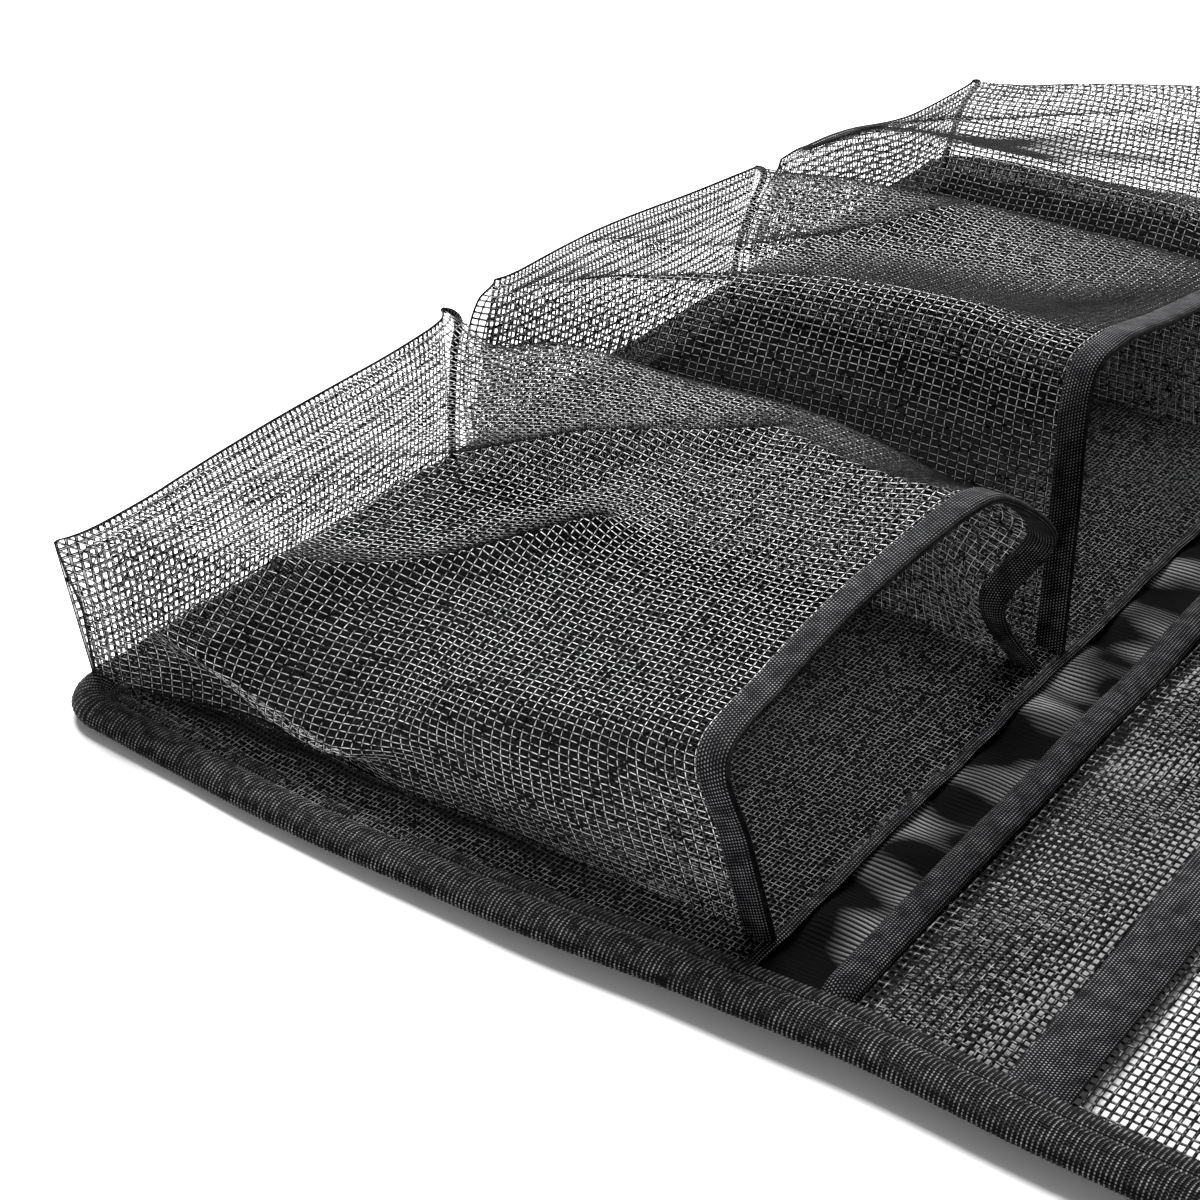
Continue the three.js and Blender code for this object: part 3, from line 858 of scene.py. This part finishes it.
def build_backing_tape(row, x, tucked):
    """The rolled tape along the backing's upper edge, flattened where it goes under the bindings."""
    low, high = box_mm(f"row{row}_backing_tape")
    y = (low[1] + high[1]) / 2 + 0.8 * soft_noise(x, x, 120, row + 40)
    z = (5.2 + 0.5 * soft_noise(x, x, 60, row + 9)) * (1 - tucked) + 2.6 * tucked
    roll = [
        (4.6 * math.cos(a), 2.4 * math.sin(a) * (1 if math.sin(a) > 0 else 0.8))
        for a in np.linspace(0, 2 * math.pi, 16, endpoint=False)
    ]
    flattened = (1 - 0.6 * tucked)[:, None, None] * [0.0, 1.0] + [1.0, 0.0]
    tape = build_cross_tape(
        f"row{row}_backing_tape_roll", x, y, z, roll,
        shape=lambda travel, section: section[None] * flattened,
    )
    settle(tape, row, "ribbed_tape", f"row{row}_backing_tape")


def build_flat_pocket(row, half, x):
    """The shallow pocket's front net and the flat tape along its upper edge."""
    low, high = box_mm(f"row{row}_flat_pocket")
    bulge = wavy_height(3.4, 2.6, 75, row + 70, low[1], high[1])
    front = flat_surface((-half, half), (low[1], high[1]), bulge)
    front.points[..., 0] *= 1 + edge_bow(front.points[..., 1]) / half
    net = net_object(
        f"row{row}_flat_pocket_net", [turned(front)], PANEL_THREAD, PANEL_MESH, (FLAT_THREAD_HALF,)
    )
    settle(net, row, "netting", f"row{row}_flat_pocket")

    tape_low, tape_high = box_mm(f"row{row}_flat_pocket_tape")
    half_width = (tape_high[1] - tape_low[1]) / 2
    section = [
        (-half_width, 0.0), (-half_width + 0.4, 0.7), (0, 0.8), (half_width - 0.4, 0.7),
        (half_width, 0.0), (half_width - 0.4, -0.6), (0, -0.6), (-half_width + 0.4, -0.6),
    ]
    y = (tape_low[1] + tape_high[1]) / 2 + 0.9 * soft_noise(x, x, 150, row + 21)
    z = 4.0 + 0.9 * soft_noise(x, x, 90, row + 33)
    tape = build_cross_tape(f"row{row}_flat_pocket_tape_band", x, y, z, section)
    settle(tape, row, "ribbed_tape", f"row{row}_flat_pocket_tape")


def build_panel(row, half):
    """The panel's own net from this row's flat pocket up to the next row or the header."""
    start = box_mm(f"row{row}_flat_pocket")[0][1]
    above = box_mm(f"row{row - 1}_backing" if row > 1 else "header_panel")[0][1]
    height = wavy_height(1.9, 0.9, 80, row + 90, start, above)
    panel = flat_surface((-half, half), (start, above + 2), height)
    panel.points[..., 0] *= 1 + edge_bow(panel.points[..., 1]) / half
    net = net_object(
        f"row{row}_panel_net", [turned(panel)], PANEL_THREAD, PANEL_MESH, (PANEL_THREAD_HALF,)
    )
    if row == FOLD_ROW:
        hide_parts("lower_mesh_panel", "upper_mesh_panel")
        blend_over_fold(net)
    else:
        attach(net, section_of(row))


def build_row(row):
    """Everything sewn on in one row, and the panel up to the next one."""
    bottom = box_mm(f"row{row}_backing")[1][1] - BACKING_END
    half = box_mm(f"row{row}_flat_pocket")[1][0]
    hem = box_mm(f"row{row}_pocket_lip_middle")[1][1] + 3
    build_backing(row, bottom)
    build_inner_net(row, half, hem)

    reach = half - 3 + edge_bow(hem)
    x = np.linspace(-reach, reach, TAPE_STEPS)
    hem_y = hem + 0.5 * soft_noise(x, x, 30, row)
    hem_z = np.full(TAPE_STEPS, 4.2)
    hem_tape = build_cross_tape(f"row{row}_pocket_back_hem", x, hem_y, hem_z, HEM_SECTION)
    settle(hem_tape, row, "ribbed_tape")

    tucked = smoothstep((np.abs(x) - reach + 13) / 10)
    build_backing_tape(row, x, tucked)
    build_flat_pocket(row, half, x)
    build_panel(row, half)
    for index, column in enumerate(COLUMNS):
        build_pocket(row, column, seed=100 * row + 10 * index)


# ---- the fold ----


def blend_over_fold(piece):
    """Bakes the place of cloth that crosses the fold into its mesh; it does not bend there."""
    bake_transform(piece)


# ---- edge binding ----

BINDING_STEP = BINDING_RIB / 4
RIB_SWELL = 0.34
# From the inner flap, over the stitched groove and the outer roll, and back underneath.
BINDING_SECTION = [
    (-7.8, 1.8), (-7.6, 3.0), (-5.2, 3.9), (-2.8, 4.3), (-1.9, 3.6), (-0.9, 4.6), (1.2, 5.8),
    (3.6, 6.3), (6.0, 5.7), (7.8, 4.3), (8.6, 2.6), (8.0, 1.1), (6.0, 0.3), (1.0, 0.2), (-7.0, 1.0),
]
CORNER_RADIUS = 8.2
EDGE_LIFT = 4.6
LIFT_STARTS = 30.0
LIFT_FULL = 260.0


def binding_path():
    """The middle of the edge binding: down the left side, along the lower edge and up the right.

    Also returns how many of its places each straight side has.
    """
    low, high = box_mm("bottom_binding")
    top = box_mm("upper_right_binding")[1][1]
    x = high[0] - 5
    y = low[1] + 5
    straight = x - CORNER_RADIUS
    turn = y + CORNER_RADIUS
    quarter = CORNER_RADIUS * math.pi / 2
    arc = np.linspace(-math.pi / 2, 0, round(quarter / BINDING_STEP))
    bottom_x = np.arange(0, straight, BINDING_STEP)
    side_y = np.arange(turn + BINDING_STEP, top, BINDING_STEP)
    right = np.concatenate([
        np.stack([bottom_x, np.full(len(bottom_x), y)], -1),
        np.stack([straight + CORNER_RADIUS * np.cos(arc), turn + CORNER_RADIUS * np.sin(arc)], -1),
        np.stack([np.full(len(side_y), x), side_y], -1),
    ])
    mirrored = right[:0:-1] * [-1, 1]
    return np.concatenate([mirrored, right]), len(side_y)


def rib_shape(travel, section):
    """Ribs across the binding, one at every BINDING_RIB."""
    rib = np.abs(np.cos(math.pi * travel[:, None] / BINDING_RIB))
    outward = unit(section - section.mean(0))
    swell = RIB_SWELL * (rib - 0.5)
    return section[None] + swell[..., None] * outward[None]


def build_binding():
    """The edge binding in three pieces: up each side across the fold, and the lower edge."""
    line, side_count = binding_path()
    tangent = unit(np.gradient(line, axis=0))
    side = np.stack([tangent[:, 1], -tangent[:, 0], np.zeros(len(line))], -1)
    up = np.tile([0, 0, 1.0], (len(line), 1))
    place = np.arange(len(line)) * BINDING_STEP
    above = line[:, 1] - line[:, 1].min()
    curl = smoothstep((above - LIFT_STARTS) / (LIFT_FULL - LIFT_STARTS))
    curl = curl * (0.8 + 0.2 * soft_noise(place, place * 0, 400, 6))
    lift = 0.2 + EDGE_LIFT * curl + 0.25 * (1 + soft_noise(place, place * 0, 60, 8))
    wander = 0.45 * soft_noise(place, place * 0, 130, 5) + 0.5 * soft_noise(place, place * 0, 42, 3)
    wander = wander + 1.2 * curl + edge_bow(line[:, 1]) * np.abs(tangent[:, 1])
    path = np.concatenate([line, lift[:, None]], 1) + side * wander[:, None]
    first, last = side_count, len(line) - side_count
    pieces = {
        "left_side_binding": (slice(0, first + 1), ("lower_left_binding", "upper_left_binding")),
        "lower_edge_binding": (slice(first, last), ("bottom_binding",)),
        "right_side_binding": (slice(last - 1, None), ("lower_right_binding", "upper_right_binding")),
    }
    for name, (part, nodes) in pieces.items():
        piece = swept_object(
            name, path[part], side[part], up[part], BINDING_SECTION, RIBBED_TAPE, shape=rib_shape
        )
        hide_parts(*nodes)
        if len(nodes) == 2:
            blend_over_fold(piece)
        else:
            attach(piece, LOWER)


# ---- header ----

HEADER_STEP = 1.5
HEM_WIDTH = 14.0
HEM_SWELL = 0.25
EDGE_ROUND = 1.2
STITCH_LENGTH = 2.6
STITCH_PITCH = 3.4


def paint(node_name, material):
    """Gives a rigid node that is shown as it is a material of this script."""
    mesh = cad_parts[node_name].data
    mesh.materials.clear()
    mesh.materials.append(material)


def stitch_row(start, end, height):
    """Starts and ends of the stitches in a straight row between two places."""
    start, end = np.array(start, float), np.array(end, float)
    length = np.linalg.norm(end - start)
    places = np.arange(0, length - STITCH_LENGTH, STITCH_PITCH)[:, None]
    along = (end - start) / length
    starts = np.concatenate([start + along * places, np.full((len(places), 1), height)], 1)
    return starts, starts + [*(along * STITCH_LENGTH), 0]


def build_header():
    """A doubled band of cloth, hemmed all round, with the eyelets pressed through it."""
    low, high = box_mm("header_panel")
    x = np.linspace(low[0], high[0], round((high[0] - low[0]) / HEADER_STEP))
    y = np.linspace(low[1], high[1], round((high[1] - low[1]) / HEADER_STEP))
    x, y = np.meshgrid(x, y)
    edge = np.minimum.reduce([x - low[0], high[0] - x, y - low[1], high[1] - y])
    rounded = np.sqrt(1 - np.clip(1 - edge / EDGE_ROUND, 0, 1) ** 2)
    hem = 1 - smoothstep((edge - HEM_WIDTH) / 1.5)
    middle, half = (low[2] + high[2]) / 2, (high[2] - low[2]) / 2
    front = half * rounded * (1 - HEM_SWELL + HEM_SWELL * hem)
    sheets = [np.stack([x, y, middle + side * front], -1).reshape(-1, 3) for side in (1, -1)]
    quads = lattice_quads(*x.shape)
    centres = sheets[0][quads].mean(1)
    kept = np.full(len(quads), True)
    for column in COLUMNS:
        eye_low, eye_high = box_mm(f"eyelet_{column}")
        eye = (eye_low + eye_high) / 2
        reach = 0.38 * (eye_high[0] - eye_low[0])
        kept &= np.hypot(centres[:, 0] - eye[0], centres[:, 1] - eye[1]) > reach
    faces = np.concatenate([quads[kept], quads[kept][:, ::-1] + len(sheets[0])])
    points = np.concatenate(sheets)
    cloth = points[:, :2]
    texture = (cloth - low[:2]) / (high[:2] - low[:2])
    texture[:, 1] = 0.5 * texture[:, 1] + np.repeat([0.0, 0.5], len(sheets[0]))
    band = mesh_object("header_band", points, faces, HEADER_CLOTH, texture, cloth)
    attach(band, UPPER)
    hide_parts("header_panel")

    rows = []
    for inset in (3.0, HEM_WIDTH - 2):
        left, right = low[0] + inset, high[0] - inset
        bottom, top = low[1] + inset, high[1] - inset
        corners = [(left, bottom), (right, bottom), (right, top), (left, top)]
        for start, end in zip(corners, corners[1:] + corners[:1]):
            rows.append(stitch_row(start, end, high[2] + 0.1))
            rows.append(stitch_row(start, end, low[2] - 0.1))
    starts, ends = (np.concatenate([row[i] for row in rows]) for i in (0, 1))
    outward = np.where(starts[:, 2:] > middle, 1.0, -1.0) * [0, 0, 1.0]
    points, faces = thread_prisms(starts, ends, outward, POCKET_THREAD_HALF)
    # Across each stitch, and the full painted highlight of the thread material along its middle.
    place = np.stack([np.tile([1.0, 0.0, -1.0], len(points) // 3), np.ones(len(points))], -1)
    texture = (points[:, :2] - low[:2]) / (high[:2] - low[:2])
    stitches = mesh_object("header_stitching", points, faces, THREAD, texture, place)
    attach(stitches, UPPER)

    for column in COLUMNS:
        paint(f"eyelet_{column}", EYELET)
        paint(f"door_hook_{column}", HOOK)


for row in ROWS:
    build_row(row)
build_binding()
build_header()


# ---- studio ----

# Lengths here are metres, and places are measured from the organizer's lower right corner.
FLOOR_SIDE = 2.4
FLOOR_NEAR = -3.4
FLOOR_DROP = 0.0004
AMBIENT = 0.2
LIGHTS_AIM = (-0.2, 0.15, 0.03)
CAMERA_LENS = 75.2
CAMERA_HEIGHT = 0.356
# In camera heights from the corner.
CAMERA_PLACE = (1.048, 1.204, 1.0)
CAMERA_PITCH = 30.4
CAMERA_TURN = 34.9314


def add_floor(edge):
    """A pale floor that ends at edge, so that the hooks hang past it as over a table's side."""
    corners = [
        (-FLOOR_SIDE, FLOOR_NEAR, -FLOOR_DROP), (FLOOR_SIDE, FLOOR_NEAR, -FLOOR_DROP),
        (FLOOR_SIDE, edge, -FLOOR_DROP), (-FLOOR_SIDE, edge, -FLOOR_DROP),
    ]
    mesh = bpy.data.meshes.new("floor")
    mesh.from_pydata(corners, [], [(0, 1, 2, 3)])
    floor = bpy.data.objects.new("floor", mesh)
    floor.data.materials.append(floor_material())
    bpy.context.scene.collection.objects.link(floor)


def add_world():
    """White where the camera sees it, and a much dimmer even light on everything else."""
    world = bpy.data.worlds.new("studio")
    world.use_nodes = True
    tree = world.node_tree
    backdrop = tree.nodes["Background"]
    backdrop.inputs["Color"].default_value = (1, 1, 1, 1)
    seen = node(tree, "ShaderNodeLightPath").outputs["Is Camera Ray"]
    strength = maths(tree, "ADD", maths(tree, "MULTIPLY", seen, 1 - AMBIENT), AMBIENT)
    tree.links.new(strength, backdrop.inputs["Strength"])
    bpy.context.scene.world = world


def add_softbox(name, corner, offset, size, power):
    data = bpy.data.lights.new(name, "AREA")
    data.shape = "DISK"
    data.size = size
    data.energy = power
    lamp = bpy.data.objects.new(name, data)
    lamp.location = corner + Vector(offset)
    aim = corner + Vector(LIGHTS_AIM)
    lamp.rotation_mode = "QUATERNION"
    lamp.rotation_quaternion = (aim - lamp.location).to_track_quat("-Z", "Y")
    bpy.context.scene.collection.objects.link(lamp)


def add_camera(corner):
    """Close over the lower right corner, looking across the lowest row."""
    data = bpy.data.cameras.new("camera")
    data.lens = CAMERA_LENS
    camera = bpy.data.objects.new("camera", data)
    camera.location = corner + Vector(CAMERA_PLACE) * CAMERA_HEIGHT
    pitch = math.radians(CAMERA_PITCH)
    turn = math.radians(CAMERA_TURN)
    heading = Vector((-math.cos(turn), -math.sin(turn), 0))
    look = heading * math.cos(pitch) - Vector((0, 0, math.sin(pitch)))
    camera.rotation_mode = "QUATERNION"
    camera.rotation_quaternion = look.to_track_quat("-Z", "Y")
    bpy.context.scene.collection.objects.link(camera)
    bpy.context.scene.camera = camera


def build_studio():
    low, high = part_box("bottom_binding")
    corner = Vector((high.x, low.y, 0))
    add_floor(edge=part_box("eyelet_middle")[0].y - 0.002)
    add_world()
    bpy.context.scene.view_settings.view_transform = "Standard"
    add_softbox("overhead", corner, offset=(-1.7, -1.2, 2.65), size=2.5, power=400.0)
    add_softbox("low_fill", corner, offset=(1.6, 0.3, 0.28), size=0.8, power=14.0)
    add_camera(corner)


build_studio()
